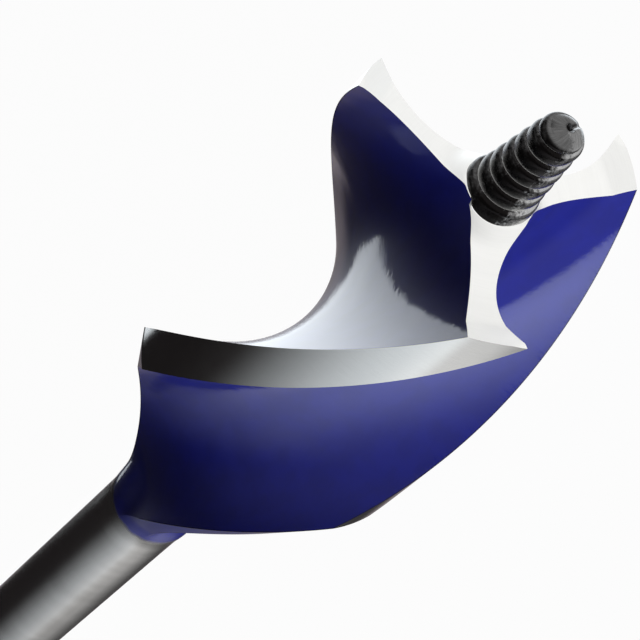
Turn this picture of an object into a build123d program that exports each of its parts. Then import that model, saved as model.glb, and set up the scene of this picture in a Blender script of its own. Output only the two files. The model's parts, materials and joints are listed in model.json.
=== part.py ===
from build123d import *
import os
from math import acos, atan2, cos, degrees, radians, sin, sqrt, tan

# Three-flute auger bit for wood with a screw point, one forged and ground piece of steel.
# It is modelled along its own axis, point upwards, with the spur tips at height 0,
# and is then laid down on its side the way it comes to rest on a bench.

# Head: three wings left between three round-bottomed flutes (millimetres and degrees)
head_diameter = 25.4
flute_count = 3
flute_radius = 12.3
core_diameter = 5.8
flute_lead = 139.0
land_length = 34.3
taper_length = 25.0
taper_blend_radius = 15.0
flute_run_out = 4.0
turning_clearance = 1.0

# Cutting end: a flank ground behind each cutting edge, with a spur left standing at the rim
flank_depth = 1.52
flank_inner_depth = 0.67
flank_relief_angle = 12.5
spur_width = 1.6
spur_depth = 0.87
spur_relief_angle = 12.0
rake_hollow = 0.4
grinding_lead_in = 2.0
grinding_run_out = 1.0
hub_depth = 0.8

# Lead screw that pulls the bit into the wood: a coarse single thread with a round profile
screw_length = 8.8
screw_base_diameter = 5.3
screw_tip_diameter = 3.5
screw_pitch = 1.4
screw_thread_depth = 0.5
screw_nose_length = 1.1
screw_point_diameter = 1.6
sections_per_turn = 6

# Shank: round, with a hexagonal quick-change end
overall_length = 152.4
shank_diameter = 7.8
hex_across_flats = 6.35
hex_length = 30.0
hex_shoulder_angle = 30.0
groove_distance = 9.5
groove_width = 4.0
groove_floor = 2.2
groove_diameter = 4.9
end_chamfer = 0.8

# How the bit lies: turned about its own axis, then tipped down onto its hexagonal end
rest_roll = -77.1
rear_corner_turn = 30.9
hex_corner_turn = 17.0

head_radius = head_diameter / 2
core_radius = core_diameter / 2
shank_radius = shank_diameter / 2
fluted_length = land_length + taper_length + flute_run_out
shank_end = screw_length - overall_length

# A flute is a round groove, so where it cuts the rim follows from its radius and the core
flute_offset = core_radius + flute_radius
flute_reach = head_radius**2 + flute_offset**2 - flute_radius**2
half_flute_angle = degrees(acos(flute_reach / (2 * head_radius * flute_offset)))

# Bar with three flutes that turn steadily along the axis, right-handed
with BuildPart() as fluted_bar:
    with BuildLine() as bit_axis:
        Line((0, 0, -fluted_length), (0, 0, 0))
    with BuildLine() as turn_guide:
        Helix(flute_lead, fluted_length, head_radius, center=(0, 0, -fluted_length))
    first_flute = half_flute_angle - 360 * fluted_length / flute_lead
    with BuildSketch(Plane.XY.offset(-fluted_length)) as wing_section:
        Circle(head_radius)
        with PolarLocations(flute_offset, flute_count, start_angle=first_flute):
            Circle(flute_radius, mode=Mode.SUBTRACT)
    sweep(wing_section.sketch, path=bit_axis.line, binormal=turn_guide.wire())


screw_core_radius = screw_tip_diameter / 2 - screw_thread_depth


def flank_corners(behind):
    """Corners of the ground trough in a plane this far behind a wing's front corner."""
    rim = sqrt(head_radius**2 - behind**2)
    drop = (behind - rake_hollow) * tan(radians(flank_relief_angle))
    inner = (screw_core_radius, -flank_inner_depth - drop)
    fold = (rim - spur_width, -spur_depth - drop)
    bottom = ((inner[0] + fold[0]) / 2, -flank_depth - drop)
    tip = (rim, -behind * tan(radians(spur_relief_angle)))
    return inner, bottom, fold, tip


# Ground flank: a trough that falls back behind the cutting edge and rises to the spur
wing_thickness = head_radius * sin(radians(360 / flute_count - 2 * half_flute_angle))
with BuildPart() as flank_cut:
    for behind in (-grinding_lead_in, wing_thickness + grinding_run_out):
        inner, bottom, fold, tip = flank_corners(behind)
        outside = (2 * tip[0] - fold[0], 2 * tip[1] - fold[1])
        above = outside[1] + flank_depth
        with BuildSketch(Plane.XZ.offset(behind)):
            with BuildLine():
                ThreePointArc(inner, bottom, fold)
                Polyline(fold, outside, (outside[0], above), (inner[0], above), inner)
            make_face()
    loft(ruled=True)

# Lead screw: round sections whose centres circle the axis once a turn
thread_offset = screw_thread_depth / 2
nose_bluntness = screw_point_diameter / screw_tip_diameter
screw_root = -hub_depth - screw_pitch
section_count = round((screw_length - screw_root) / screw_pitch * sections_per_turn)
with BuildPart() as lead_screw:
    for step in range(section_count + 1):
        height = screw_root + (screw_length - screw_root) * step / section_count
        along = (height + hub_depth) / (screw_length + hub_depth)
        outer = screw_base_diameter / 2 + (screw_tip_diameter - screw_base_diameter) / 2 * along
        into_nose = max(1 - (screw_length - height) / screw_nose_length, 0)
        rounding = sqrt(1 - into_nose**2 * (1 - nose_bluntness**2))
        circling = Vector(thread_offset * rounding, 0).rotate(Axis.Z, 360 * height / screw_pitch)
        with BuildSketch(Plane.XY.offset(height)):
            with Locations(circling):
                Circle((outer - thread_offset) * rounding)
    loft(ruled=True)

# Round shank, from the run-out of the flutes to the shoulder of the hexagon
flutes_fade = -land_length - taper_length + flute_run_out
hex_start = shank_end + hex_length
groove_radius = groove_diameter / 2
hex_inner_radius = hex_across_flats / 2
shoulder_length = (shank_radius - hex_inner_radius) / tan(radians(hex_shoulder_angle))
with BuildPart() as shank:
    with BuildSketch(Plane.XZ):
        with BuildLine():
            Polyline(
                (0, flutes_fade),
                (core_radius, flutes_fade),
                (shank_radius, -fluted_length),
                (shank_radius, hex_start),
                (hex_inner_radius, hex_start - shoulder_length),
                (0, hex_start - shoulder_length),
                close=True,
            )
        make_face()
    revolve(axis=Axis.Z)

# Hexagonal quick-change end: a retaining groove near the end, and a chamfered tail
hex_outer_radius = hex_across_flats / sqrt(3)
groove_middle = shank_end + groove_distance
with BuildPart() as hex_end:
    with BuildSketch(Plane.XY.offset(shank_end)):
        RegularPolygon(hex_outer_radius, 6)
    extrude(amount=hex_length)
    with BuildSketch(Plane.XZ):
        with BuildLine():
            Polyline(
                (0, shank_end),
                (hex_outer_radius - end_chamfer, shank_end),
                (hex_outer_radius, shank_end + end_chamfer),
                (hex_outer_radius, groove_middle - groove_width / 2),
                (groove_radius, groove_middle - groove_floor / 2),
                (groove_radius, groove_middle + groove_floor / 2),
                (hex_outer_radius, groove_middle + groove_width / 2),
                (hex_outer_radius, hex_start),
                (0, hex_start),
                close=True,
            )
        make_face()
    revolve(axis=Axis.Z, mode=Mode.INTERSECT)

# The fluted bar is turned to a cone behind its lands and to a small hub in front.
# The turned outline stands clear of the lands, so they keep the bar's own surface.
clear_radius = head_radius + turning_clearance
taper_rise = turning_clearance * taper_length / (head_radius - shank_radius)
with BuildPart() as upright_bit:
    with BuildSketch(Plane.XZ) as turned_outline:
        with BuildLine():
            Polyline(
                (0, -hub_depth),
                (core_radius, -hub_depth),
                (core_radius + hub_depth, 0),
                (clear_radius, 0),
                (clear_radius, -land_length + taper_rise),
                (shank_radius, -land_length - taper_length),
                (shank_radius, -fluted_length),
                (0, -fluted_length),
                close=True,
            )
        make_face()
        taper_end = (shank_radius, -land_length - taper_length)
        blend_corner = turned_outline.vertices().sort_by_distance(taper_end)[0]
        fillet(blend_corner, taper_blend_radius)
    revolve(axis=Axis.Z)
    add(fluted_bar.part, mode=Mode.INTERSECT)
    with PolarLocations(0, flute_count):
        add(flank_cut.part, mode=Mode.SUBTRACT)
    add(lead_screw.part)
    add(shank.part)
    add(hex_end.part)

# Lying down: it rests on the ground lands of two wings and on a corner of the hexagonal tail
rear_corner_height = head_radius * cos(radians(rear_corner_turn))
hex_corner_height = hex_outer_radius * cos(radians(hex_corner_turn))
between_supports = -land_length - shank_end - end_chamfer
rest_tilt = degrees(atan2(rear_corner_height - hex_corner_height, between_supports))
rolled_bit = upright_bit.part.rotate(Axis.Z, 180 - rest_roll)
tipped_bit = rolled_bit.rotate(Axis.Y, 90 - rest_tilt)
tipped_box = tipped_bit.bounding_box()
box_middle = tipped_box.center()

with BuildPart() as auger_bit:
    with Locations((-box_middle.X, -box_middle.Y, -tipped_box.min.Z)):
        add(tipped_bit)

auger_bit.part.label = "auger_bit"
os.makedirs("parts", exist_ok=True)
export_step(auger_bit.part, "parts/auger_bit.step")
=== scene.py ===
import json
import math
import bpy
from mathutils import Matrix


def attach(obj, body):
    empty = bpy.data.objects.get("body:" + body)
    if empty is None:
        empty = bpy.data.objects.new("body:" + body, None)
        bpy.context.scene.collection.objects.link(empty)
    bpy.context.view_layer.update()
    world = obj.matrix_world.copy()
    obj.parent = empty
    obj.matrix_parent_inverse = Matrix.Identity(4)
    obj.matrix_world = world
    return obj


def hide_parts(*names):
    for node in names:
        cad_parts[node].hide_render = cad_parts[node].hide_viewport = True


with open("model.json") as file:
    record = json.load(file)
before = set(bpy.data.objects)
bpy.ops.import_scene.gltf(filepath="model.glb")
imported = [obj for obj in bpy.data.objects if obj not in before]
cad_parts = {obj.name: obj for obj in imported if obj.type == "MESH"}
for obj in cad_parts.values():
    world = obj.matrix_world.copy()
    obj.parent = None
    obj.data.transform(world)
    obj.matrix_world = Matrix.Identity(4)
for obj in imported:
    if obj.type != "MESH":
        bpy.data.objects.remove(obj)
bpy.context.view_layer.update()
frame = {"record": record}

import types

import bpy
import numpy as np
from mathutils import Matrix, Vector

bl_info = {
    "name": "Three-Flute Auger Bit",
    "version": (1, 0, 0),
    "blender": (4, 5, 0),
    "location": "3D View > Sidebar > Auger Bit",
    "description": "Makes a coated three-flute auger bit with a lead screw and a hexagonal shank",
    "category": "Add Mesh",
}

# The bit's own frame: its axis towards the point, its tail, and where it is held
MOUNTS = {mount["name"]: mount for mount in frame["record"]["mounts"]}
BIT_AXIS = -np.array(MOUNTS["tail_face"]["axis"])
TAIL = np.array(MOUNTS["tail_face"]["pos_m"])
MILLIMETRE = 0.001
SHANK_DIAMETER = 2 * MOUNTS["round_shank"]["dims"]["r_mm"] * MILLIMETRE

# Radii between which the flanks' lift towards the screw fades out
LIFT_FADE = (0.0024, 0.0046)
# How far inside the nose's radius a flank's ground trough starts
TROUGH_INSET = 0.5 * MILLIMETRE
# Height from which the columns of the body stretch up to the ground front
FRONT_START = -0.007

# The stage: what the key light faces and what the camera aims at, then the key light's azimuth
# and elevation in degrees, its distance and width, the surround and the tent of soft light
HEAD_MIDDLE = (0.04, 0.0, 0.01)
CAMERA_TARGET = (0.04197303, 0.00162669, 0.01243888)
KEY_BEARING = (-50.0, 2.5)
KEY_DISTANCE = 0.5
KEY_WIDTH = 0.25
SURROUND_STRENGTH = 0.036
TENT_RADIUS = 0.5
# Share of the floor's look that is plain white, and how pale the rest is
FLOOR_PLAIN_SHARE = 0.97
FLOOR_PALENESS = 0.85


def length(name, description, default):
    """A size in metres that a user may change."""
    return bpy.props.FloatProperty(
        name=name, description=description, default=default, min=0, unit="LENGTH", precision=5
    )


def angle(name, description, degrees):
    """An angle that a user may change, given in degrees and kept in radians."""
    return bpy.props.FloatProperty(
        name=name, description=description, default=math.radians(degrees), unit="ROTATION"
    )


def colour(name, description, default):
    """A colour that a user may change, in linear red, green and blue."""
    return bpy.props.FloatVectorProperty(
        name=name, description=description, default=default, size=3, min=0, max=1, subtype="COLOR"
    )


def factor(name, description, default):
    """A plain number that a user may change."""
    return bpy.props.FloatProperty(name=name, description=description, default=default, min=0)


class HeadSizes(bpy.types.PropertyGroup):
    """Sizes of the fluted head, of its ground cutting end and of the taper behind it."""

    head_diameter: length("Head Diameter", "Diameter over the lands", 0.0254)
    flute_count: bpy.props.IntProperty(
        name="Flutes", description="Number of flutes", default=3, min=2
    )
    flute_radius: length("Flute Radius", "Radius of a flute's round section", 0.0123)
    core_diameter: length("Core Diameter", "Thickness of steel left between the flutes", 0.0058)
    flute_lead: length("Flute Lead", "Distance in which a flute turns once", 0.139)
    land_length: length("Land Length", "Length of the head at full diameter", 0.0343)
    taper_length: length("Taper Length", "Length of the cone down to the shank", 0.025)
    taper_blend: length("Taper Blend", "Radius where the cone runs into the shank", 0.015)
    flute_run_out: length("Flute Run-out", "Half the distance in which the flutes fade out", 0.004)
    flank_depth: length("Flank Depth", "Depth of the ground trough behind an edge", 0.00152)
    flank_inner_depth: length("Flank Inner Depth", "Depth of the trough at the screw", 0.00067)
    flank_relief: angle("Flank Relief", "Slope of the flank behind the edge", 12.5)
    spur_width: length("Spur Width", "Width of the spur at the rim", 0.0016)
    spur_depth: length("Spur Depth", "Height of the spur over the flank", 0.00087)
    spur_relief: angle("Spur Relief", "Slope of the spur behind its tip", 12.0)
    rake_hollow: length("Rake Hollow", "How far the cutting edge is hollowed", 0.0004)
    grinding_lead_in: length("Grinding Lead-in", "Where the flank's grinding starts", 0.002)
    grinding_run_out: length("Grinding Run-out", "Where the flank's grinding ends", 0.001)
    hub_depth: length("Hub Depth", "How far the hub lies behind the spur tips", 0.0008)
    hub_lift: length("Hub Lift", "How far the flanks rise where they meet the screw", 0.00055)
    coating_end: length("Coating End", "Where the coating ends behind the spur tips", 0.0598)


class ScrewSizes(bpy.types.PropertyGroup):
    """Sizes of the lead screw that stands out of the head."""

    screw_length: length("Screw Length", "How far the screw stands past the spur tips", 0.0088)
    base_diameter: length("Base Diameter", "Diameter over the thread at the head", 0.0053)
    tip_diameter: length("Tip Diameter", "Diameter over the thread at the nose", 0.0035)
    pitch: length("Pitch", "Distance between turns of the thread", 0.0014)
    thread_depth: length("Thread Depth", "Depth of the groove between two turns", 0.00042)
    thread_start: length("Thread Start", "Height at which the thread's root faces a wing", 0.0007)
    nose_length: length("Nose Length", "From the last of the thread to the point", 0.0015)
    nose_rise: length("Nose Rise", "Height of the nose's rounded side", 0.0008)
    nose_round: length("Nose Round", "How far the nose's side is drawn in", 0.00055)
    nose_crown: length("Nose Crown", "Height of the nose's domed face", 0.00035)
    notch_depth: length("Notch Depth", "Depth of the notch from the pit to the nose's rim", 0.0003)
    collar_height: length("Collar Height", "How far the collar behind the thread stands", 0.00015)
    pit_diameter: length("Pit Diameter", "Diameter of the centre pit in the nose", 0.0007)
    pit_depth: length("Pit Depth", "Depth of the centre pit in the nose", 0.0006)


class ShankSizes(bpy.types.PropertyGroup):
    """Sizes of the round shank and of its hexagonal end."""

    overall_length: length("Overall Length", "From the tail to the point of the screw", 0.1524)
    hex_across_flats: length("Across Flats", "Width of the hexagon", 0.00635)
    hex_length: length("Hexagon Length", "Length of the hexagonal end", 0.030)
    shoulder_slope: angle("Shoulder Slope", "Slope of the shoulder to the axis", 30.0)
    groove_distance: length("Groove Distance", "From the tail to the groove's middle", 0.0095)
    groove_width: length("Groove Width", "Width of the groove at its top", 0.004)
    groove_floor: length("Groove Floor", "Width of the groove at its floor", 0.0022)
    groove_diameter: length("Groove Diameter", "Diameter of the groove's floor", 0.0049)
    end_chamfer: length("End Chamfer", "Chamfer round the tail", 0.0008)
    wing_roll: angle("Wing Roll", "Turn of a wing's corner from straight up, as the bit lies", 77.1)


class FinishSettings(bpy.types.PropertyGroup):
    """Colours of the coating and of the bare steel."""

    coating: colour("Coating", "Blue lacquer of the flutes and the taper", (0.004, 0.011, 0.35))
    # Painted shade: a dark line at the rim's corners, where the coating meets ground steel
    painted_rim_shade: colour("Edge Line", "Dark line where the coating ends", (0.02, 0.016, 0.014))
    ground_steel: colour("Ground Steel", "Freshly ground flanks and spurs", (0.94, 0.94, 0.92))
    land_steel: colour("Land Steel", "Ground lands on the rims of the wings", (0.52, 0.52, 0.51))
    shank_steel: colour("Shank Steel", "Satin turned shank", (0.53, 0.52, 0.505))
    # Steel of the painted sheen and highlights on the lead screw, and of its worn nose
    screw_steel: colour("Screw Steel", "Worn side and nose of the lead screw", (0.5, 0.5, 0.5))
    screw_oxide: colour("Screw Oxide", "Dark skin of the lead screw", (0.008, 0.007, 0.007))
    background: colour("Background", "Floor and surroundings", (1.0, 1.0, 1.0))


class StudioSettings(bpy.types.PropertyGroup):
    """Where the camera and the lights stand, seen from the head of the bit."""

    camera_azimuth: angle("Camera Azimuth", "Camera's direction from the bit, from +X", -23.3234)
    camera_elevation: angle("Camera Elevation", "Camera's height over the bit", 36.4640)
    camera_roll: angle("Camera Roll", "Turn of the camera about its line of sight", -93.6806)
    camera_distance: length("Camera Distance", "From the camera to its target", 0.20463)
    focal_length: factor("Focal Length", "Camera lens in millimetres on a 36 mm sensor", 146.628)
    key_strength: factor("Key Strength", "Power of the key light in watts", 2.4)


def read_sizes(context):
    """All sizes as one plain namespace, with those that follow from them."""
    sizes = types.SimpleNamespace()
    scene = context.scene
    for group in (scene.bit_head, scene.bit_screw, scene.bit_shank):
        for name in type(group).__annotations__:
            setattr(sizes, name, getattr(group, name))
    sizes.head_radius = sizes.head_diameter / 2
    sizes.core_radius = sizes.core_diameter / 2
    sizes.shank_radius = SHANK_DIAMETER / 2
    sizes.flute_offset = sizes.core_radius + sizes.flute_radius
    sizes.twist = 2 * math.pi / sizes.flute_lead
    sizes.wing_pitch = 2 * math.pi / sizes.flute_count
    sizes.half_flute = float(half_flute_angle(sizes, sizes.head_radius))
    sizes.land_angle = sizes.wing_pitch - 2 * sizes.half_flute
    sizes.fluted_length = sizes.land_length + sizes.taper_length + sizes.flute_run_out
    sizes.tail = sizes.screw_length - sizes.overall_length
    sizes.hex_start = sizes.tail + sizes.hex_length
    sizes.hex_inner_radius = sizes.hex_across_flats / 2
    sizes.hex_outer_radius = sizes.hex_across_flats / math.sqrt(3)
    return sizes


def half_flute_angle(sizes, radius):
    """Half the angle a flute takes of a circle: law of cosines on axis, flute centre and rim."""
    reach = radius**2 + sizes.flute_offset**2 - sizes.flute_radius**2
    return np.arccos(np.clip(reach / (2 * radius * sizes.flute_offset), -1, 1))


def bench_matrix(sizes):
    """Columns are the bit's own x, y and z directions as it lies, and the spur-tip plane's centre.

    The bit's z is its axis. Its x points at a wing's corner, turned by the wing roll from
    straight up about the axis.
    """
    upright = np.array([0.0, 0.0, 1.0])
    straight_up = upright - BIT_AXIS * (upright @ BIT_AXIS)
    straight_up /= np.linalg.norm(straight_up)
    sideways = np.cross(BIT_AXIS, straight_up)
    x_axis = math.cos(sizes.wing_roll) * straight_up + math.sin(sizes.wing_roll) * sideways
    directions = np.stack([x_axis, np.cross(BIT_AXIS, x_axis), BIT_AXIS], axis=1)
    return directions, TAIL - BIT_AXIS * sizes.tail


def lay_down(sizes, points):
    """Points in the bit's own frame, turned and moved to where the bit lies."""
    directions, centre = bench_matrix(sizes)
    return points @ directions.T + centre


def grid_faces(rows, columns, closed=True):
    """Quads of a grid of vertices, row by row, that face outwards when the columns run
    anticlockwise and the rows run up. A closed grid joins its last column to its first."""
    lower = np.arange(rows - 1)[:, None] * columns
    column = np.arange(columns if closed else columns - 1)[None, :]
    beside = (column + 1) % columns
    quads = [lower + column, lower + beside, lower + columns + beside, lower + columns + column]
    return np.stack(quads, axis=-1).reshape(-1, 4)


def fan_faces(ring, centre, upwards):
    """Triangles from a ring of vertices to one centre vertex, facing up or down."""
    beside = np.roll(ring, -1)
    middle = np.full(len(ring), centre)
    corners = [ring, beside, middle] if upwards else [beside, ring, middle]
    return np.stack(corners, axis=1)


def add_piece(name, sizes, points, face_sets, finishes, attributes, crease):
    """Makes a mesh object of points in the bit's frame. Each face set is an array of faces and
    the index of its finish. Edges sharper than the crease angle stay sharp."""
    mesh = bpy.data.meshes.new(name)
    faces = [face for array, _ in face_sets for face in array.tolist()]
    mesh.from_pydata(lay_down(sizes, points).tolist(), [], faces)
    index = np.concatenate([np.full(len(array), finish) for array, finish in face_sets])
    for finish in finishes:
        mesh.materials.append(finish)
    mesh.polygons.foreach_set("material_index", index.astype(np.int32))
    for key, values in attributes.items():
        layer = mesh.attributes.new(key, "FLOAT", "POINT")
        layer.data.foreach_set("value", values.astype(np.float32))
    mesh.shade_smooth()
    mesh.set_sharp_from_angle(angle=math.radians(crease))
    mesh.update()
    piece = bpy.data.objects.new(name, mesh)
    bpy.context.scene.collection.objects.link(piece)
    return piece


def smooth_step(low, high, value):
    """0 below low, 1 above high and a cubic curve in between."""
    share = np.clip((value - low) / (high - low), 0, 1)
    return share * share * (3 - 2 * share)


def hump(value, middle, spread):
    """A bell curve that is 1 in the middle."""
    return np.exp(-(((value - middle) / spread) ** 2))


def between(rise_start, rise_end, fall_start, fall_end, value):
    """1 between two ramps, one up and one down, and 0 outside them."""
    return smooth_step(rise_start, rise_end, value) * (1 - smooth_step(fall_start, fall_end, value))


def polar_points(radius, around, height):
    """Points at a radius, at an angle about the axis and at a height, as one long list."""
    parts = np.broadcast_arrays(radius * np.cos(around), radius * np.sin(around), height)
    return np.stack(parts, axis=-1).reshape(-1, 3)


def bearing(azimuth, elevation):
    """Unit vectors for arrays of azimuths from +X and elevations over the horizon, in degrees."""
    azimuth, elevation = np.radians(azimuth), np.radians(elevation)
    flat = np.cos(elevation)
    return np.stack(
        [flat * np.cos(azimuth), flat * np.sin(azimuth), np.sin(elevation) + 0 * azimuth], axis=-1
    )


def turned_radius(sizes, height):
    """Radius the head is turned to at a height: full at the lands, then a straight cone that
    runs into the shank by an arc tangent to both."""
    corner = -sizes.land_length - sizes.taper_length
    slope = (sizes.head_radius - sizes.shank_radius) / sizes.taper_length
    cone = sizes.shank_radius + slope * (height - corner)
    tangent = sizes.taper_blend * math.tan(math.atan(slope) / 2)
    arc_centre = corner - tangent
    from_centre = np.clip(height - arc_centre, 0, sizes.taper_blend)
    arc = sizes.shank_radius + sizes.taper_blend - np.sqrt(sizes.taper_blend**2 - from_centre**2)
    arc_end = corner + tangent * math.cos(math.atan(slope))
    blended = np.where(height < arc_end, arc, cone)
    return np.minimum(np.where(height < arc_centre, sizes.shank_radius, blended), sizes.head_radius)


def grinding_span(sizes):
    """Where the grinding of a flank starts and ends, as distances behind its wing's corner."""
    thickness = sizes.head_radius * math.sin(sizes.land_angle)
    return -sizes.grinding_lead_in, thickness + sizes.grinding_run_out


def spur_fold(sizes, behind):
    """Where the fold between flank and spur lies along a wing, at a distance behind its corner:
    a spur's width inside a straight line from rim to rim between both ends of the grinding."""
    start, end = grinding_span(sizes)
    start_rim = math.sqrt(sizes.head_radius**2 - start**2)
    end_rim = math.sqrt(sizes.head_radius**2 - end**2)
    return start_rim + (end_rim - start_rim) * (behind - start) / (end - start) - sizes.spur_width


def front_height(sizes, x, y):
    """Height of the ground front over a point of the section: the lowest of the turned hub and
    of one ground trough for each wing. A trough is a circular arc from the screw to the spur's
    fold and a straight wall up to the spur, and it falls away steadily behind the edge. Near the
    screw all of it is lifted a little."""
    radius = np.hypot(x, y)
    lift = sizes.hub_lift * (1 - smooth_step(*LIFT_FADE, radius))
    height = np.clip(radius - sizes.core_radius, 0, sizes.hub_depth) - sizes.hub_depth + lift
    start, end = grinding_span(sizes)
    inner_x = sizes.tip_diameter / 2 - TROUGH_INSET
    for wing in range(sizes.flute_count):
        turn = wing * sizes.wing_pitch
        along = x * math.cos(turn) + y * math.sin(turn)
        behind = x * math.sin(turn) - y * math.cos(turn)
        drop = (behind - sizes.rake_hollow) * math.tan(sizes.flank_relief)
        fold_x = spur_fold(sizes, behind)
        inner_z = -sizes.flank_inner_depth - drop
        fold_z = -sizes.spur_depth - drop
        trough = arc_height(along, inner_x, inner_z, fold_x, fold_z, -sizes.flank_depth - drop)
        rise = (-behind * math.tan(sizes.spur_relief) - fold_z) / sizes.spur_width
        wall = fold_z + (along - fold_x) * rise
        ground = np.where(along < fold_x, trough, wall) + lift
        inside = (along > inner_x) & (behind > start) & (behind < end)
        height = np.where(inside, np.minimum(height, ground), height)
    return height


def arc_height(x, inner_x, inner_z, outer_x, outer_z, middle_z):
    """Height at x of the circular arc through two ends and a middle point halfway between them.
    The circle's centre is the circumcentre of the three points."""
    middle_x = (inner_x + outer_x) / 2
    xs, zs = (inner_x, middle_x, outer_x), (inner_z, middle_z, outer_z)
    twice_area, centre_x, centre_z = 0, 0, 0
    for here, after, last in ((0, 1, 2), (1, 2, 0), (2, 0, 1)):
        square = xs[here] ** 2 + zs[here] ** 2
        twice_area = twice_area + 2 * xs[here] * (zs[after] - zs[last])
        centre_x = centre_x + square * (zs[after] - zs[last])
        centre_z = centre_z + square * (xs[last] - xs[after])
    centre_x, centre_z = centre_x / twice_area, centre_z / twice_area
    square = (inner_x - centre_x) ** 2 + (inner_z - centre_z) ** 2
    return centre_z - np.sqrt(np.maximum(square - (x - centre_x) ** 2, 0))


def flute_polar(sizes, turn, radius):
    """Radius of a point of the flute's arc, its angle from the flute's middle and its distance
    along the arc from the rim. The turn runs from -1 at one rim to 1 at the other, as a share of
    the arc that the turned radius leaves."""
    reach = sizes.flute_offset**2 + sizes.flute_radius**2 - radius**2
    half_arc = np.arccos(np.clip(reach / (2 * sizes.flute_offset * sizes.flute_radius), -1, 1))
    arc = half_arc * turn
    x = sizes.flute_offset - sizes.flute_radius * np.cos(arc)
    y = sizes.flute_radius * np.sin(arc)
    return np.hypot(x, y), np.arctan2(y, x), sizes.flute_radius * half_arc * (1 - np.abs(turn))


def top_of_column(sizes, radius, column_angle):
    """Height at which a column that twists with the flutes meets the ground front, found by
    following the column to the height last found, until it no longer changes."""
    rounds = 14
    height = np.zeros_like(radius)
    for _ in range(rounds):
        turned = column_angle + sizes.twist * height
        height = front_height(sizes, radius * np.cos(turned), radius * np.sin(turned))
    return height


def fold_turn(sizes, side):
    """Share of the flute's half arc at which its top edge crosses the fold of the spur."""
    turn = np.linspace(0.5, 1.0, 2001)
    radius, from_middle, _ = flute_polar(sizes, side * turn, sizes.head_radius)
    wing = 0 if side < 0 else 1
    column_angle = sizes.half_flute + from_middle
    height = top_of_column(sizes, radius, column_angle)
    turned = column_angle + sizes.twist * height - wing * sizes.wing_pitch
    outside = radius * np.cos(turned) - spur_fold(sizes, -radius * np.sin(turned))
    return turn[np.argmin(np.abs(outside))]


def body_columns(sizes, flute_turn, land_share, turned):
    """Radius, angle and distance to the rim's corner of each column, in a row for each turned
    radius: for each flute the points of its arc, then those of the land that follows it."""
    turned = turned[:, None]
    half = half_flute_angle(sizes, turned)
    land = sizes.wing_pitch - 2 * half
    at, from_middle, to_rim = flute_polar(sizes, flute_turn, turned)
    to_corner = -turned * land * np.minimum(land_share, 1 - land_share)
    around = [
        np.hstack([middle + from_middle, middle + half + land * land_share])
        for middle in sizes.half_flute + np.arange(sizes.flute_count) * sizes.wing_pitch
    ]
    repeats = (1, sizes.flute_count)
    radius = np.tile(np.hstack([at, turned + 0 * land_share]), repeats)
    return radius, np.hstack(around), np.tile(np.hstack([to_rim, to_corner]), repeats)


def flank_inside(sizes, trailing, leading, rim, inner_steps):
    """Points of one wing's front inside its edges, all at the height of the ground front. Each
    row runs straight from the trailing edge to the leading edge. Past the inner steps the rows
    bulge out to the rim, and near the axis they bulge in to the core's circle."""
    side_steps = len(trailing) - 1
    share = np.linspace(0, 1, len(rim))[None, :, None]
    span = trailing[:, None] * (1 - share) + leading[:, None] * share
    rim_bulge = rim - span[-1]
    core_start = math.atan2(trailing[0, 1], trailing[0, 0])
    core_turn = core_start + sizes.wing_pitch * share[0, :, 0]
    core_arc = sizes.core_radius * np.stack([np.cos(core_turn), np.sin(core_turn)], axis=-1)
    core_bulge = core_arc - span[0]
    row = np.arange(side_steps + 1)
    outwards = np.clip((row - inner_steps) / (side_steps - inner_steps), 0, 1)[:, None, None]
    inwards = np.clip(1 - row / inner_steps, 0, 1)[:, None, None] ** 2
    span = span + rim_bulge * outwards + core_bulge * inwards
    height = front_height(sizes, span[..., 0], span[..., 1])
    return np.concatenate([span, height[..., None]], axis=-1)[:-1, 1:-1]


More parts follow.
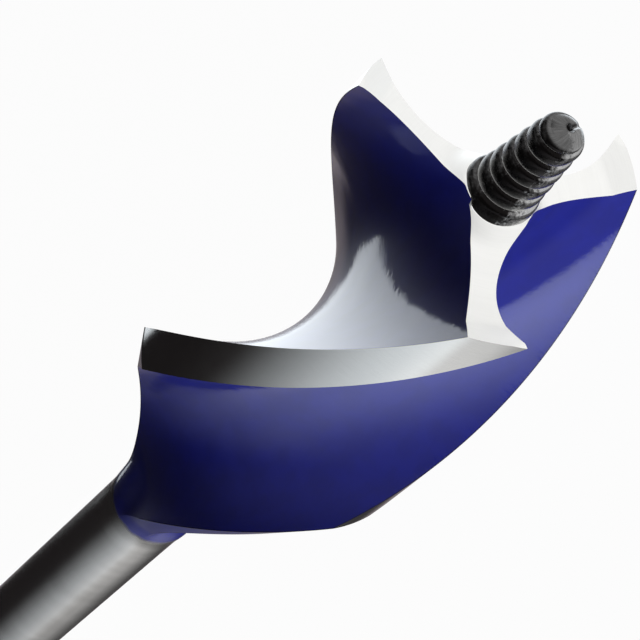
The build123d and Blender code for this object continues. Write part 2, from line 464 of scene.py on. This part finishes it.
def fluted_body(sizes):
    """The head, its taper and the round shank as one closed surface.

    Columns run round the section: along each flute's arc from rim to rim, then along a land.
    Each column turns with the flutes as it rises, by the twist times its height. Rows run from
    the hexagon's shoulder up to the ground front. Where the flutes run out, the columns move
    from the round shank into the flutes by a smooth step along the axis. The front is a patch
    on each wing that blends from its trailing edge to its leading edge.
    """
    inner_steps, outer_steps, land_steps = 44, 10, 14
    run_out_before_coating, run_out_stretch = 0.0006, 1.35
    halves = []
    for side in (-1, 1):
        fold = fold_turn(sizes, side)
        inner = np.linspace(0, fold, inner_steps + 1)
        outer = np.linspace(fold, 1, outer_steps + 1)[1:]
        halves.append(np.concatenate([inner, outer]))
    flute_turn = np.concatenate([-halves[0][::-1], halves[1][1:]])
    flute_columns = len(flute_turn)
    sector = flute_columns + land_steps - 1
    columns = sector * sizes.flute_count
    land_share = np.linspace(0, 1, land_steps + 1)[1:-1]

    shank_rows = np.linspace(sizes.hex_start, -sizes.fluted_length, 20)[:-1]
    corner = -sizes.land_length - sizes.taper_length
    run_out_rows = np.linspace(-sizes.fluted_length, corner + sizes.flute_run_out, 36)[:-1]
    cone_rows = np.linspace(corner + sizes.flute_run_out, -sizes.land_length, 70)
    head_rows = np.linspace(-sizes.land_length, FRONT_START, 80)[1:]
    level_rows = np.concatenate([shank_rows, run_out_rows, cone_rows, head_rows])
    front_share = np.linspace(0, 1, 29)[1:]

    turned = turned_radius(sizes, level_rows)
    radius, column_angle, corner_distance = body_columns(sizes, flute_turn, land_share, turned)
    run_out_start = -sizes.coating_end - run_out_before_coating
    run_out_end = run_out_start + sizes.flute_run_out * run_out_stretch
    grooved = smooth_step(run_out_start, run_out_end, level_rows)[:, None]
    radius = turned[:, None] + (radius - turned[:, None]) * grooved
    corner_distance = np.abs(corner_distance) + MILLIMETRE * (1 - grooved)
    height = np.broadcast_to(level_rows[:, None], radius.shape)

    full = np.full(len(front_share), sizes.head_radius)
    front_radius, front_angle, front_corner = body_columns(sizes, flute_turn, land_share, full)
    top = top_of_column(sizes, front_radius[-1], front_angle[-1])
    front_heights = FRONT_START + (top - FRONT_START) * front_share[:, None]

    radius = np.concatenate([radius, front_radius])
    column_angle = np.concatenate([column_angle, front_angle])
    corner_distance = np.concatenate([corner_distance, front_corner])
    height = np.concatenate([height, front_heights])
    wall = polar_points(radius, column_angle + sizes.twist * height, height)
    rows = len(level_rows) + len(front_share)
    quads = grid_faces(rows, columns).reshape(rows - 1, columns, 4)
    is_land = (np.arange(columns) % sector) >= flute_columns - 1
    is_front = np.arange(rows - 1) >= np.searchsorted(level_rows, -sizes.land_length - 1e-9)
    land_quads = quads[is_front][:, is_land].reshape(-1, 4)
    coated = np.ones((rows - 1, columns), bool)
    coated[np.ix_(is_front, is_land)] = False
    coated_quads = quads[coated]

    flat = wall[:, :2]
    points = [wall]
    distances = [corner_distance.reshape(-1)]
    count = len(wall)
    flank_quads = []
    hub_ring = []
    top_row = (rows - 1) * columns
    side_steps = inner_steps + outer_steps
    for wing in range(sizes.flute_count):
        leading = top_row + wing * sector + np.arange(side_steps, -1, -1)
        before = (wing - 1) % sizes.flute_count
        trailing = top_row + before * sector + np.arange(side_steps, flute_columns)
        rim = top_row + before * sector + np.arange(flute_columns - 1, sector)
        rim = np.append(rim, leading[-1])
        inside = flank_inside(sizes, flat[trailing], flat[leading], flat[rim], inner_steps)
        added = inside.shape[0] * inside.shape[1]
        index = np.empty((side_steps + 1, land_steps + 1), int)
        index[:, 0] = trailing
        index[:, -1] = leading
        index[-1] = rim
        index[:-1, 1:-1] = count + np.arange(added).reshape(inside.shape[:2])
        count += added
        points.append(inside.reshape(-1, 3))
        distances.append(np.zeros(added))
        corners = [index[:-1, :-1], index[1:, :-1], index[1:, 1:], index[:-1, 1:]]
        flank_quads.append(np.stack(corners, axis=-1).reshape(-1, 4))
        hub_ring.append(index[0, :-1])
    points.append(np.array([[0, 0, -sizes.hub_depth], [0, 0, sizes.hex_start]]))
    distances.append(np.zeros(2))
    hub_faces = fan_faces(np.concatenate(hub_ring), count, True)
    rear_faces = fan_faces(np.arange(columns), count + 1, False)
    face_sets = [
        (coated_quads, 0),
        (land_quads, 1),
        (np.concatenate(flank_quads), 2),
        (hub_faces, 2),
        (rear_faces, 3),
    ]
    return np.concatenate(points), face_sets, {"corner_distance": np.concatenate(distances)}


def screw_profile(sizes):
    """Radius and height of each row of the lead screw, its share of the thread's depth, and how
    far it has come from the side towards the pit. The profile runs up the tapered side, round
    the nose by a quarter of an ellipse, in across the domed face and down the centre pit."""
    base = -0.0022
    shoulder = sizes.screw_length - sizes.nose_length
    side = np.linspace(base, shoulder, 400)
    quarter = np.linspace(0, math.pi / 2, 26)[1:]
    nose_height = shoulder + sizes.nose_rise * np.sin(quarter)
    nose_inset = sizes.nose_round * (1 - np.cos(quarter))
    half_taper = (sizes.base_diameter - sizes.tip_diameter) / 2
    side_radius = sizes.base_diameter / 2 - half_taper * (side / sizes.screw_length)
    end_radius = side_radius[-1] - nose_inset
    face = np.linspace(1, 0, 16)[1:]
    pit_radius = sizes.pit_diameter / 2
    face_radius = pit_radius + (end_radius[-1] - pit_radius) * face
    face_height = nose_height[-1] + sizes.nose_crown * (1 - face**2)
    pit = np.linspace(0, 1, 10)[1:-1]
    pit_height = face_height[-1] - sizes.pit_depth * np.sqrt(pit)
    flat_rows = len(face) + len(pit)
    across_nose = np.linspace(0, 1, len(quarter) + len(face))
    profile = (
        [side_radius, end_radius, face_radius, pit_radius * (1 - pit)],
        [side, nose_height, face_height, pit_height],
        [np.ones_like(side), np.cos(quarter), np.zeros(flat_rows)],
        [np.zeros_like(side), across_nose, np.ones_like(pit)],
    )
    return [np.concatenate(parts)[:, None] for parts in profile]


def lead_screw(sizes):
    """The lead screw as one closed surface of columns round the axis and rows along a profile.

    On the side, the thread takes the most in a sharp root where the turn angle less one turn a
    pitch is nought. From there it swells to a round lobe: the share of the turn to a power,
    times the square root of one less a higher power of it. Under the first root a plain collar
    stands out a little. Towards the pit the rings move off the axis, and a notch, bell shaped
    across, runs from the pit to the rim of the nose.
    """
    columns = 128
    lobe_swell, lobe_fall, lobe_peak = 0.4, 6, 0.86
    thread_fade, collar_fade = (-0.3, -0.12), (-0.06, 0.0)
    wall_clearance = 0.00008
    pit_offset, pit_turn, pit_floor = 0.0004, 2.2, 0.00002
    notch_turn, notch_width, notch_span = 2.1, 0.00017, (0.0004, 0.0008)
    around = np.linspace(0, 2 * math.pi, columns, endpoint=False)[None, :]
    outline, height, thread_share, towards = screw_profile(sizes)
    past_start = (height - sizes.thread_start) / sizes.pitch
    turn_share = (past_start - around / (2 * math.pi)) % 1
    lobe = turn_share**lobe_swell * np.sqrt(1 - turn_share**lobe_fall) / lobe_peak
    lobe = np.minimum(lobe, 1)
    depth = sizes.thread_depth * thread_share * (1 - lobe)
    half_turns = (around + math.pi) % (2 * math.pi) - math.pi
    past_start = past_start - half_turns / (2 * math.pi)
    collar = sizes.collar_height * (1 - smooth_step(*collar_fade, past_start))
    radius = outline - depth * smooth_step(*thread_fade, past_start) + collar
    radius = np.minimum(radius, sizes.core_radius - wall_clearance)
    x = radius * np.cos(around) + pit_offset * towards * math.cos(pit_turn)
    y = radius * np.sin(around) + pit_offset * towards * math.sin(pit_turn)
    across = y * math.cos(notch_turn) - x * math.sin(notch_turn)
    outwards = x * math.cos(notch_turn) + y * math.sin(notch_turn)
    notch = hump(across, 0, notch_width) * smooth_step(*notch_span, outwards) * towards
    z = height - sizes.notch_depth * notch
    wall = np.stack([x, y, z], axis=-1).reshape(-1, 3)
    base = [0, 0, height[0, 0]]
    tip = wall[-columns:].mean(axis=0) - np.array([0, 0, pit_floor])
    points = np.concatenate([wall, [base], [tip]])
    faces = grid_faces(len(height), columns)
    base_faces = fan_faces(np.arange(columns), len(wall), False)
    tip_faces = fan_faces(np.arange(len(wall) - columns, len(wall)), len(wall) + 1, True)
    on_face = np.broadcast_to(1 - thread_share, radius.shape).reshape(-1)
    root = ((1 - lobe) * thread_share).reshape(-1)
    attributes = {
        "thread_root": np.append(root, [0, 0]),
        "nose_face": np.append(on_face, [0, 1]),
        "turn_angle": np.append(np.broadcast_to(around, radius.shape).reshape(-1), [0, 0]),
    }
    return points, [(faces, 0), (base_faces, 0), (tip_faces, 0)], attributes


def hex_end(sizes):
    """The hexagonal end as one closed surface. In each direction its radius is the smaller of
    the hexagon and of a turned outline with a groove and chamfers, and the larger of that and
    the shoulder's cone."""
    per_side = 24
    columns = 6 * per_side
    around = np.arange(columns)[None, :] * 2 * math.pi / columns
    from_flat = around % (math.pi / 3) - math.pi / 6
    hexagon = sizes.hex_inner_radius / np.cos(from_flat)
    middle = sizes.tail + sizes.groove_distance
    outer = sizes.hex_outer_radius
    groove_radius = sizes.groove_diameter / 2
    slope = math.tan(sizes.shoulder_slope)
    shoulder_length = (sizes.shank_radius - sizes.hex_inner_radius) / slope
    # Height and radius of each corner of the turned outline, and the rows up to the next corner
    corners = [
        (sizes.tail, outer - sizes.end_chamfer, 16),
        (sizes.tail + sizes.end_chamfer, outer, 4),
        (middle - sizes.groove_width / 2, outer, 22),
        (middle - sizes.groove_floor / 2, groove_radius, 6),
        (middle + sizes.groove_floor / 2, groove_radius, 22),
        (middle + sizes.groove_width / 2, outer, 8),
        (sizes.hex_start - shoulder_length, outer, 24),
        (sizes.hex_start, outer, 0),
    ]
    corner_heights, corner_radii, steps = zip(*corners)
    spans = [
        np.linspace(low, high, count, endpoint=False)
        for low, high, count in zip(corner_heights, corner_heights[1:], steps)
    ]
    heights = np.append(np.concatenate(spans), sizes.hex_start)
    outline = np.interp(heights, corner_heights, corner_radii)[:, None]
    cone = sizes.shank_radius - (sizes.hex_start - heights) * slope
    radius = np.maximum(np.minimum(hexagon, outline), cone[:, None])
    wall = polar_points(radius, around, heights[:, None])
    points = np.concatenate([wall, [[0, 0, sizes.tail], [0, 0, sizes.hex_start]]])
    last_ring = np.arange(len(wall) - columns, len(wall))
    face_sets = [
        (grid_faces(len(heights), columns), 0),
        (fan_faces(np.arange(columns), len(wall), False), 0),
        (fan_faces(last_ring, len(wall) + 1, True), 0),
    ]
    return points, face_sets, {}


class Signal:
    """A socket of a node tree, on which Python arithmetic adds Math nodes."""

    def __init__(self, finish, socket):
        self.finish = finish
        self.socket = socket

    def maths(self, operation, first, second=0.0):
        return self.finish.node("ShaderNodeMath", {"operation": operation}, {0: first, 1: second})

    def __add__(self, other):
        return self.maths("ADD", self, other)

    def __sub__(self, other):
        return self.maths("SUBTRACT", self, other)

    def __rsub__(self, other):
        return self.maths("SUBTRACT", other, self)

    def __mul__(self, other):
        return self.maths("MULTIPLY", self, other)

    def __truediv__(self, other):
        return self.maths("DIVIDE", self, other)

    def __pow__(self, other):
        return self.maths("POWER", self, other)

    __radd__ = __add__
    __rmul__ = __mul__

    def clamped(self, low, high):
        """0 below low, 1 above high and smooth in between."""
        settings = {"interpolation_type": "SMOOTHSTEP"}
        sockets = {"Value": self, "From Min": low, "From Max": high}
        return self.finish.node("ShaderNodeMapRange", settings, sockets)


class Finish:
    """A material, or the world, while its nodes are made. Each node comes from the node method."""

    def __init__(self, name, kind="materials"):
        self.owner = getattr(bpy.data, kind).new(name)
        self.owner.use_nodes = True
        self.tree = self.owner.node_tree
        self.tree.nodes.clear()

    def node(self, kind, settings=None, sockets=None, output=0):
        """Adds a node: its settings first, then the values or links of its sockets."""
        made = self.tree.nodes.new(kind)
        for name, value in (settings or {}).items():
            setattr(made, name, value)
        for key, value in (sockets or {}).items():
            if isinstance(value, Signal):
                self.tree.links.new(value.socket, made.inputs[key])
            else:
                made.inputs[key].default_value = value
        return Signal(self, made.outputs[output] if made.outputs else None)

    def along(self, place, direction, origin):
        """Distance in millimetres from an origin along a direction."""
        scaled = tuple(float(value) / MILLIMETRE for value in direction)
        settings = {"operation": "DOT_PRODUCT"}
        dot = self.node("ShaderNodeVectorMath", settings, {0: place, 1: scaled}, "Value")
        return dot - float(np.dot(origin, scaled))

    def noise(self, x, y, z, detail, roughness):
        """Noise whose grains are one unit wide at a place that is given in three directions."""
        place = self.node("ShaderNodeCombineXYZ", None, {0: x, 1: y, 2: z})
        sockets = {"Vector": place, "Scale": 1.0, "Detail": detail, "Roughness": roughness}
        return self.node("ShaderNodeTexNoise", None, sockets)

    def attribute(self, name, output="Fac"):
        """What one of the piece's attributes says."""
        return self.node("ShaderNodeAttribute", {"attribute_name": name}, output=output)

    def mixed(self, share, first, second):
        """A colour between two."""
        sockets = {"Factor": share, 6: as_shade(first), 7: as_shade(second)}
        return self.node("ShaderNodeMix", {"data_type": "RGBA"}, sockets, 2)

    def bump(self, height, distance, under=None):
        """A normal that tilts with a height, over another such normal."""
        sockets = {"Height": height, "Distance": distance, "Strength": 1.0}
        if under is not None:
            sockets["Normal"] = under
        return self.node("ShaderNodeBump", None, sockets)

    def ended(self, shader, kind="Material"):
        """The material or the world, once a shader feeds its output."""
        self.node("ShaderNodeOutput" + kind, None, {"Surface": shader})
        return self.owner

    def surface(self, **sockets):
        """Ends the material in one Principled BSDF with these sockets."""
        names = {key.replace("_", " ").title(): value for key, value in sockets.items()}
        names = {key.replace("Ior", "IOR"): value for key, value in names.items()}
        return self.ended(self.node("ShaderNodeBsdfPrincipled", None, names))

    def seen_plainly(self):
        """1 on rays that see the thing straight, in a reflection or through glass, or else 0."""
        kinds = ("Is Camera Ray", "Is Glossy Ray", "Is Transmission Ray")
        camera, glossy, through = (self.node("ShaderNodeLightPath", output=kind) for kind in kinds)
        return (camera + glossy + through).clamped(0.0, 1.0)


def darker(shade, share):
    """A share of a colour."""
    return tuple(value * share for value in shade)


def as_shade(value):
    """A colour with its alpha, or the signal that it already is."""
    return value if isinstance(value, Signal) else (*value, 1.0)


def bit_directions(finish, sizes):
    """Millimetres across the bit's axis two ways and along it, from the spur-tip plane, worked
    out from Object coordinates, which are metres as the bit lies."""
    directions, centre = bench_matrix(sizes)
    place = finish.node("ShaderNodeTexCoord", output="Object")
    return [finish.along(place, direction, centre) for direction in directions.T]


def coating_finish(sizes, colours):
    """Glossy deep blue lacquer over ground steel. Fine grinding marks run across the flutes, so
    they change along the axis. The lacquer ends in an uneven edge on the shank, which is bare
    behind it, and a painted shade darkens it at the corners of the rim."""
    finish = Finish("blue_coating")
    x, y, z = bit_directions(finish, sizes)
    steel = colours.shank_steel
    marks = finish.noise(x * 1.2, y * 1.2, z * 3.8, 2.0, 0.5)
    waves = finish.noise(x * 0.12, y * 0.12, z * 0.3, 1.0, 0.4)
    steel_marks = finish.noise(x * 0.6, y * 0.6, z * 18, 3.0, 0.6)
    edge_noise = finish.noise(x * 0.8, y * 0.8, z * 0.8, 3.0, 0.6)
    clouds = finish.noise(x * 0.5, y * 0.5, z * 0.35, 2.0, 0.5)
    end = -sizes.coating_end / MILLIMETRE
    bare = 1 - (z + (edge_noise - 0.5) * 0.8).clamped(end - 0.45, end + 0.45)
    ripple = finish.bump(waves, 0.00006)
    normal = finish.bump(marks * (1 - bare), 0.000011, ripple)
    steel = finish.mixed(steel_marks, steel, darker(steel, 0.8))
    clouds = clouds.clamped(0.35, 0.65)
    lacquer = finish.mixed(clouds, darker(colours.coating, 0.85), colours.coating)
    base = finish.mixed(bare, lacquer, steel)
    # Painted shade: near the rim's corners the lacquer turns dark and loses its coat
    rim = (finish.attribute("corner_distance") / MILLIMETRE).clamped(0.03, 0.13)
    base = finish.mixed(rim * 0.7 + 0.3, colours.painted_rim_shade, base)
    return finish.surface(
        base_color=base,
        metallic=bare,
        roughness=0.02 + bare * 0.2,
        ior=1.5,
        coat_weight=(1 - bare) * rim,
        coat_roughness=0.42,
        coat_ior=1.24,
        normal=normal,
    )


def land_finish(sizes, colours):
    """Bare cylindrically ground steel: fine lines round the bit, so they change along it."""
    finish = Finish("land_steel")
    x, y, z = bit_directions(finish, sizes)
    lines = finish.noise(x * 0.7, y * 0.7, z * 22, 3.0, 0.6)
    patches = finish.noise(x * 0.7, y * 0.7, z * 0.7, 2.0, 0.5)
    return finish.surface(
        base_color=finish.mixed(lines, darker(colours.land_steel, 0.86), colours.land_steel),
        metallic=1.0,
        roughness=0.09 + patches * 0.08,
        normal=finish.bump(lines, 0.0000025),
    )


def flank_finish(sizes, colours):
    """Bright ground steel of the flanks and spurs: fine lines in circles about the axis."""
    finish = Finish("ground_steel")
    x, y, _ = bit_directions(finish, sizes)
    radius = (x * x + y * y) ** 0.5
    lines = finish.noise(radius * 16, x * 0.35, y * 0.35, 4.0, 0.65)
    broad = finish.noise(radius * 1.2, x * 0.2, y * 0.2, 2.0, 0.5)
    shade = lines * 0.6 + broad * 0.4
    return finish.surface(
        base_color=finish.mixed(shade, darker(colours.ground_steel, 0.86), colours.ground_steel),
        metallic=1.0,
        roughness=0.42,
        normal=finish.bump(lines, 0.000006),
    )


def shank_finish(sizes, colours):
    """Satin turned steel, with faint lighter and darker lines round the shank."""
    finish = Finish("shank_steel")
    x, y, z = bit_directions(finish, sizes)
    lines = finish.noise(x * 0.4, y * 0.4, z * 4, 2.0, 0.5)
    base = finish.mixed(lines, colours.shank_steel, darker(colours.shank_steel, 0.9))
    return finish.surface(base_color=base, metallic=1.0, roughness=0.24)


def screw_finish(sizes, colours):
    """Dark speckled steel of the lead screw, with painted highlights in the thread's roots and fine
    scratches that run in towards the pit on the nose. The nose is worn lighter, two sides carry a
    painted sheen of lighter steel, and a third side has a painted highlight."""
    finish = Finish("screw_steel")
    x, y, z = bit_directions(finish, sizes)
    steel = colours.screw_steel
    pit_x, pit_y = -0.24, 0.32
    root = finish.attribute("thread_root")
    face = finish.attribute("nose_face")
    turn = finish.attribute("turn_angle")
    speckle = finish.noise(x * 3.4, y * 3.4, z * 3.4, 4.0, 0.7)
    from_pit = ((x - pit_x) * (x - pit_x) + (y - pit_y) * (y - pit_y)) ** 0.5
    scratches = finish.noise(turn * 6.0 + from_pit * 1.6, from_pit * 0.6, 0.0, 3.0, 0.7)
    grain = speckle * (1 - face) + scratches * face
    radius = (x * x + y * y) ** 0.5 + 0.01

    def side(across_x, across_y, unevenness, low, high):
        """1 on the side of the screw that faces a direction, with a speckled edge."""
        facing = (x * across_x + y * across_y) / radius
        return (facing + (speckle - 0.5) * unevenness).clamped(low, high)

    # Painted sheen: two sides of the screw turn to lighter steel where reflections would fall; the
    # nose is lighter from wear
    painted_sheen_and_wear = side(0.42, 0.91, 1.6, 0.3, 0.85) + side(-0.5, -0.87, 1.2, 0.5, 1.1) * 0.3
    painted_sheen_and_wear = painted_sheen_and_wear.maths("MAXIMUM", painted_sheen_and_wear, face.clamped(0.3, 0.9) * 0.55)
    painted_sheen_and_wear = painted_sheen_and_wear * from_pit.clamped(0.25, 0.5)
    sheen_and_wear_steel = finish.mixed(grain.clamped(0.25, 0.75), darker(steel, 0.25), darker(steel, 0.5))
    base = finish.mixed(painted_sheen_and_wear, colours.screw_oxide, sheen_and_wear_steel)
    # Painted highlight: a bright line along each root of the thread
    base = finish.mixed(root.clamped(0.8, 0.98) * 0.4, base, steel)
    # Painted highlight: a third side of the screw is made bright
    painted_highlight_side = side(0.77, 0.64, 0.9, 0.6, 1.0) * 0.7 * (1 - face)
    return finish.surface(
        base_color=finish.mixed(painted_highlight_side, base, steel),
        metallic=1.0,
        roughness=0.14 + speckle * 0.22,
        normal=finish.bump(grain, 0.000025),
    )


def glow_finish():
    """A surface that takes no light and gives the colour that its level attribute says."""
    finish = Finish("soft_light")
    sockets = {"Color": finish.attribute("level", "Color"), "Strength": 1.0}
    return finish.ended(finish.node("ShaderNodeEmission", None, sockets))


def floor_finish(colours):
    """A white floor. Seen straight or in a reflection it is mostly plain white, with enough of
    its own light and shade left to keep the shadow of the bit."""
    finish = Finish("floor")
    shade = colours.background
    matt = {"Color": as_shade(darker(shade, FLOOR_PALENESS))}
    matt = finish.node("ShaderNodeBsdfDiffuse", None, matt)
    plain = {"Color": as_shade(shade), "Strength": 1.0}
    plain = finish.node("ShaderNodeEmission", None, plain)
    share = finish.seen_plainly() * FLOOR_PLAIN_SHARE
    both = finish.node("ShaderNodeMixShader", None, {0: share, 1: matt, 2: plain})
    return finish.ended(both)


def surround_finish():
    """A world that lights the bit weakly and evenly, and is plain white to look at."""
    finish = Finish("surround", "worlds")
    soft = finish.node("ShaderNodeBackground", None, {"Strength": SURROUND_STRENGTH})
    plain = finish.node("ShaderNodeBackground", None, {"Color": (1.0, 1.0, 1.0, 1.0)})
    sockets = {0: finish.seen_plainly(), 1: soft, 2: plain}
    return finish.ended(finish.node("ShaderNodeMixShader", None, sockets), "World")


def tent_level(azimuth, elevation):
    """Light in a direction from the bit, in degrees from +X and over the horizon, as red, green
    and blue. A large soft panel stands beside the bit and fades upwards and to the rear, with
    smaller soft spots low at its rear end. Behind the bit, a bright sheet ends sharply at a
    black flag, which shines a little low down. The ceiling is grey, the floor beside the bit is
    in shade, and the front is white up to eye level and grey above it."""
    around = azimuth % 360
    from_panel = (azimuth + 270) % 360 - 180

    def spot(level, middle, spread, height, rise):
        """A soft spot: a bell curve across, from the panel, times a bell curve up."""
        return level * hump(from_panel, middle, spread) * hump(elevation, height, rise)

    raised = smooth_step(-5, 1, elevation)
    panel = spot(1.9, 0, 75, 30, 28) * (1 - spot(0.32, -72, 18, 27, 16))
    panel = panel + spot(2.2, 0, 40, 5, 22)
    panel = panel * raised * between(-100, -62, 6, 19, from_panel)

    ceiling = 0.3 * smooth_step(25, 85, elevation) * (1 - between(14, 24, 150, 170, from_panel))

    shade = (0.06 + 0.36 * hump(from_panel, 0, 50)) * (1 - raised)
    shade = shade * between(168, 184, 285, 310, around)
    shade = shade * (1 - 0.6 * smooth_step(22, 38, -elevation))
    shade = shade + spot(0.85, -50, 10, -10, 13) + spot(0.45, -58, 14, -2, 11)
    shade = shade + 0.3 * hump(from_panel, -58, 14) * between(10, 18, 30, 40, -elevation)

    edge = 143.0 + 3.0 * smooth_step(-14, -4, elevation) + 8 * smooth_step(24, 40, -elevation)
    edge_start, edge_end = edge - 0.7, edge + 0.7
    brighter = 1.35 * smooth_step(78, 102, around) - 0.75 * smooth_step(112, 146, around)
    sheet = between(25, 50, edge_start, edge_end, around) * (1.0 + brighter)
    sheet = sheet * (1 - smooth_step(3.5, 5.5, elevation))
    flag = between(edge_start, edge_end, 168, 184, around)
    flag_shine = 0.14 * smooth_step(15, 22, -elevation) + 0.16 * smooth_step(28, 40, -elevation)
    flag_shine = flag_shine + spot(0.4, -110, 3, -17, 3)

    front = 1.1 * (1 - between(25, 50, 290, 315, around)) * (1 - smooth_step(16, 28, elevation))
    upper = 0.4 * (1 - between(70, 100, 290, 315, around)) * smooth_step(8, 28, elevation)
    steep = 1 - 0.25 * smooth_step(60, 74, -elevation)
    front, sheet = (front + upper) * steep, sheet * steep

    coolness = smooth_step(70, 100, around)
    cool = (panel + sheet * coolness)[..., None] * np.array([0.93, 0.99, 1.04])
    plain = (front + ceiling + shade + sheet * (1 - coolness))[..., None] * np.ones(3)
    warm = (flag * flag_shine + 0.016)[..., None] * np.array([1.08, 0.94, 0.98])
    return cool + plain + warm


def stage_card(name, points, finish, levels=None):
    """A sheet of the stage from a grid of points. One with light levels shows in reflections
    only, as a photographer's card just outside the picture does."""
    rows, columns = points.shape[:2]
    mesh = bpy.data.meshes.new(name)
    faces = grid_faces(rows, columns, closed=False)
    mesh.from_pydata(points.reshape(-1, 3).tolist(), [], faces.tolist())
    mesh.materials.append(finish)
    card = bpy.data.objects.new(name, mesh)
    bpy.context.scene.collection.objects.link(card)
    if levels is not None:
        layer = mesh.attributes.new("level", "FLOAT_COLOR", "POINT")
        levels = np.concatenate([levels, np.ones((rows, columns, 1))], -1)
        layer.data.foreach_set("color", levels.reshape(-1).astype(np.float32))
        for ray in ("camera", "diffuse", "shadow", "transmission", "volume_scatter"):
            setattr(card, "visible_" + ray, False)
    mesh.update()
    return card


def aim(thing, place, target, roll=0.0):
    """Puts a camera or lamp at a place, looking at a target, turned about its line of sight."""
    direction = Vector(target) - Vector(place)
    turn = direction.to_track_quat("-Z", "Y").to_matrix() @ Matrix.Rotation(roll, 3, "Z")
    thing.matrix_world = Matrix.Translation(Vector(place)) @ turn.to_4x4()


class MakeFlutedBody(bpy.types.Operator):
    """Make the fluted head with its ground front, its taper and the round shank"""

    bl_idname = "auger_bit.make_fluted_body"
    bl_label = "Make Fluted Body"

    def execute(self, context):
        sizes = read_sizes(context)
        colours = context.scene.bit_finish
        points, face_sets, attributes = fluted_body(sizes)
        finishes = [
            coating_finish(sizes, colours),
            land_finish(sizes, colours),
            flank_finish(sizes, colours),
            shank_finish(sizes, colours),
        ]
        piece = add_piece("fluted_body", sizes, points, face_sets, finishes, attributes, 20.0)
        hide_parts("auger_bit")
        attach(piece, "root")
        return {"FINISHED"}


class MakeLeadScrew(bpy.types.Operator):
    """Make the lead screw with its thread and its pitted nose"""

    bl_idname = "auger_bit.make_lead_screw"
    bl_label = "Make Lead Screw"

    def execute(self, context):
        sizes = read_sizes(context)
        points, face_sets, attributes = lead_screw(sizes)
        finish = screw_finish(sizes, context.scene.bit_finish)
        piece = add_piece("lead_screw", sizes, points, face_sets, [finish], attributes, 60.0)
        # The flanks are ground too coarsely to mirror the thread
        piece.visible_glossy = False
        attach(piece, "root")
        return {"FINISHED"}


class MakeHexEnd(bpy.types.Operator):
    """Make the hexagonal end with its groove and chamfers"""

    bl_idname = "auger_bit.make_hex_end"
    bl_label = "Make Hexagonal End"

    def execute(self, context):
        sizes = read_sizes(context)
        points, face_sets, attributes = hex_end(sizes)
        finish = bpy.data.materials["shank_steel"]
        piece = add_piece("hex_end", sizes, points, face_sets, [finish], attributes, 20.0)
        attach(piece, "root")
        return {"FINISHED"}


class MakeStage(bpy.types.Operator):
    """Make the floor, the tent of soft light, the surround, the key light and the camera"""

    bl_idname = "auger_bit.make_stage"
    bl_label = "Make Stage"

    def execute(self, context):
        sizes = read_sizes(context)
        studio = context.scene.bit_studio
        colours = context.scene.bit_finish
        context.scene.view_settings.view_transform = "Standard"
        context.scene.world = surround_finish()
        self.make_floor(colours)
        self.make_tent(sizes)
        self.make_key_light(context, studio)
        self.make_camera(context, studio)
        return {"FINISHED"}

    def make_floor(self, colours):
        """A flat round floor, wide enough for every view."""
        azimuth = np.linspace(0, 360, 97)[None, :]
        distance = np.array([0.0, 0.3, 1.0, 4.0])[:, None]
        points = distance[..., None] * bearing(azimuth, 0 * azimuth)
        floor = stage_card("floor", points, floor_finish(colours))
        # The tent stands in for it in reflections
        floor.visible_glossy = False

    def make_tent(self, sizes):
        """A round tent of soft light that stands in for the floor and the room in reflections."""
        _, centre = bench_matrix(sizes)
        azimuth = np.linspace(-180, 180, 721)[None, :]
        elevation = np.linspace(-90, 90, 361)[:, None]
        behind_tips = 12 * MILLIMETRE
        points = centre - behind_tips * BIT_AXIS + TENT_RADIUS * bearing(azimuth, elevation)
        stage_card("tent", points, glow_finish(), tent_level(azimuth, elevation))

    def make_key_light(self, context, studio):
        """One large soft key light, low beside the camera, which no reflection shows."""
        lamp = bpy.data.lights.new("key_light", "AREA")
        lamp.shape = "DISK"
        lamp.size = KEY_WIDTH
        lamp.energy = studio.key_strength
        key = bpy.data.objects.new("key_light", lamp)
        context.scene.collection.objects.link(key)
        place = np.array(HEAD_MIDDLE) + KEY_DISTANCE * bearing(*np.array(KEY_BEARING))
        aim(key, place, HEAD_MIDDLE)
        key.visible_glossy = False

    def make_camera(self, context, studio):
        """The photograph's camera, whose target lies inside the head, behind the spurs."""
        lens = bpy.data.cameras.new("camera")
        lens.sensor_width = 36
        lens.lens = studio.focal_length
        lens.clip_start = 0.01
        lens.clip_end = 20
        camera = bpy.data.objects.new("camera", lens)
        context.scene.collection.objects.link(camera)
        back = bearing(*np.degrees([studio.camera_azimuth, studio.camera_elevation]))
        place = np.array(CAMERA_TARGET) + studio.camera_distance * back
        aim(camera, place, CAMERA_TARGET, studio.camera_roll)
        context.scene.camera = camera


class AugerBitPanel(bpy.types.Panel):
    """Lists the operators that make the auger bit and its stage."""

    bl_idname = "VIEW3D_PT_auger_bit"
    bl_label = "Auger Bit"
    bl_space_type = "VIEW_3D"
    bl_region_type = "UI"
    bl_category = "Auger Bit"

    def draw(self, context):
        for operator in OPERATORS:
            self.layout.operator(operator.bl_idname)


GROUPS = {
    "bit_head": HeadSizes,
    "bit_screw": ScrewSizes,
    "bit_shank": ShankSizes,
    "bit_finish": FinishSettings,
    "bit_studio": StudioSettings,
}
OPERATORS = (MakeFlutedBody, MakeLeadScrew, MakeHexEnd, MakeStage)


def register():
    for group in (*GROUPS.values(), *OPERATORS, AugerBitPanel):
        bpy.utils.register_class(group)
    for name, group in GROUPS.items():
        setattr(bpy.types.Scene, name, bpy.props.PointerProperty(type=group))


def unregister():
    for name in GROUPS:
        delattr(bpy.types.Scene, name)
    for group in reversed((*GROUPS.values(), *OPERATORS, AugerBitPanel)):
        bpy.utils.unregister_class(group)


def main():
    """Registers the add-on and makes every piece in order."""
    register()
    bpy.ops.auger_bit.make_fluted_body()
    bpy.ops.auger_bit.make_lead_screw()
    bpy.ops.auger_bit.make_hex_end()
    bpy.ops.auger_bit.make_stage()


if __name__ == "__main__":
    main()
